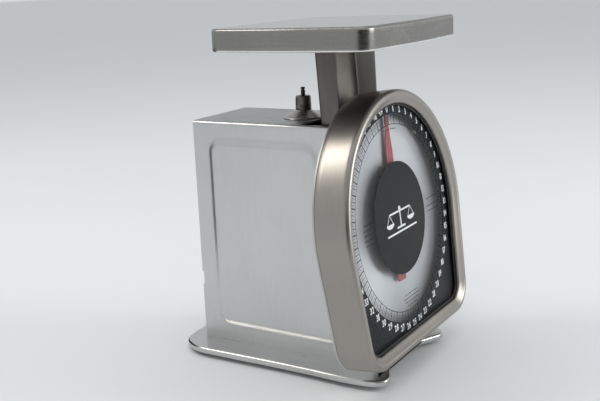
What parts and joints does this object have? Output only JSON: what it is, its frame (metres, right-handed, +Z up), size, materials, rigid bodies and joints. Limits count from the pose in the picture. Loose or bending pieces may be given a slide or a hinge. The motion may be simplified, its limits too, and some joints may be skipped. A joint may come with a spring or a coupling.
{
  "type": "mechanical dial weighing scale",
  "caption": "Spring weighing scale: box housing on a lobed base, tilted round dial in a deep D-shaped bezel, flat pan on a channel post, zero adjuster on top.",
  "frame": {"origin": "centre of the whole object's footprint box, on the table under the feet", "axes": "+Z up, +X to the right of a person reading the dial, the dial faces -Y"},
  "size_m": [0.173, 0.1767, 0.2365],
  "materials": {
    "base_steel": "satin stainless, polished rolled edge",
    "housing_steel": "satin brushed stainless",
    "bezel_steel": "satin brushed, warm grey",
    "pan_steel": "satin brushed stainless",
    "post_steel": "satin stainless",
    "screw_steel": "zinc plated",
    "plated_steel": "passivated zinc plate",
    "bright_steel": "ground",
    "nickel": "dull nickel",
    "brass": "machined",
    "black_oxide": "blackened",
    "black_rubber": "matt",
    "black_plastic": "moulded",
    "mask_ink": "printed film",
    "dial_white": "satin enamel",
    "pointer_red": "satin enamel",
    "lens_clear": "clear"
  },
  "bodies": {
    "housing": {"base_plate": "base_steel", "rubber_feet": "black_rubber", "housing_shell": "housing_steel", "rear_cover": "housing_steel", "rear_screws": "screw_steel", "base_screws": "screw_steel", "dial_back": "bezel_steel", "front_screws": "screw_steel", "bezel": "bezel_steel", "bezel_lugs": "bezel_steel", "bezel_screws": "screw_steel", "lens_gasket": "black_rubber", "lens": "lens_clear", "spacer_frame": "black_plastic", "dial_mask": "mask_ink", "centre_disc": "mask_ink", "dial_face": "dial_white", "dial_pillars": "screw_steel", "dial_screws": "screw_steel", "arbor_bridge": "plated_steel", "bridge_screws": "screw_steel", "front_bush": "brass", "rear_bush": "brass", "mech_frame": "plated_steel", "frame_pins": "bright_steel", "dashpot_cylinder": "bright_steel", "dashpot_cap": "black_plastic", "overload_stops": "black_rubber", "zero_ferrule": "nickel"},
    "platform": {"pan": "pan_steel", "pan_skirt": "pan_steel", "pan_studs": "screw_steel", "pan_nuts": "screw_steel", "post": "post_steel", "post_screws": "screw_steel", "load_carrier": "plated_steel", "carrier_pins": "bright_steel", "rack_bracket": "plated_steel", "bracket_screws": "screw_steel", "rack": "brass", "rack_rivets": "bright_steel", "dashpot_rod": "bright_steel", "rod_nut": "screw_steel"},
    "pointer": {"arbor": "bright_steel", "pinion": "brass", "pointer": "pointer_red", "pointer_hub": "brass"},
    "upper_link": {"upper_link": "plated_steel"},
    "lower_link": {"lower_link": "plated_steel"},
    "zero_nut": {"zero_nut": "nickel"},
    "zero_yoke": {"zero_stud": "black_oxide", "spring_yoke": "plated_steel", "load_springs": "bright_steel"}
  },
  "joints": [
    {"name": "platform_slide", "type": "slide", "parent": "housing", "child": "platform", "axis": [0, 0, -1], "range_m": [0, 0.02216], "stiffness_N_per_m": 10000, "springref_m": -0.003, "deforming": ["load_springs"]},
    {"name": "pointer_turn", "type": "hinge", "parent": "housing", "child": "pointer", "pos_m": [0, -0.0704, 0.1048], "axis": [0, 0.9923, -0.1236], "range_deg": [0, 360]},
    {"name": "upper_link_swing", "type": "hinge", "parent": "housing", "child": "upper_link", "pos_m": [0, 0.045, 0.11692], "axis": [1, 0, 0], "range_deg": [0, 21]},
    {"name": "lower_link_swing", "type": "hinge", "parent": "housing", "child": "lower_link", "pos_m": [0, 0.045, 0.04692], "axis": [1, 0, 0], "range_deg": [0, 21]},
    {"name": "zero_nut_turn", "type": "hinge", "parent": "housing", "child": "zero_nut", "pos_m": [0, 0.003, 0.181], "axis": [0, 0, 1], "range_deg": [-720, 720]},
    {"name": "zero_stud_slide", "type": "slide", "parent": "housing", "child": "zero_yoke", "axis": [0, 0, 1], "range_m": [-0.002, 0.002]}
  ],
  "couplings": [
    {"joint": "pointer_turn", "follows": "platform_slide", "rad_per_m": 283.52},
    {"joint": "upper_link_swing", "follows": "platform_slide", "rad_per_m": 16.481},
    {"joint": "lower_link_swing", "follows": "platform_slide", "rad_per_m": 16.481},
    {"joint": "zero_nut_turn", "follows": "zero_stud_slide", "rad_per_m": -6283.2}
  ]
}
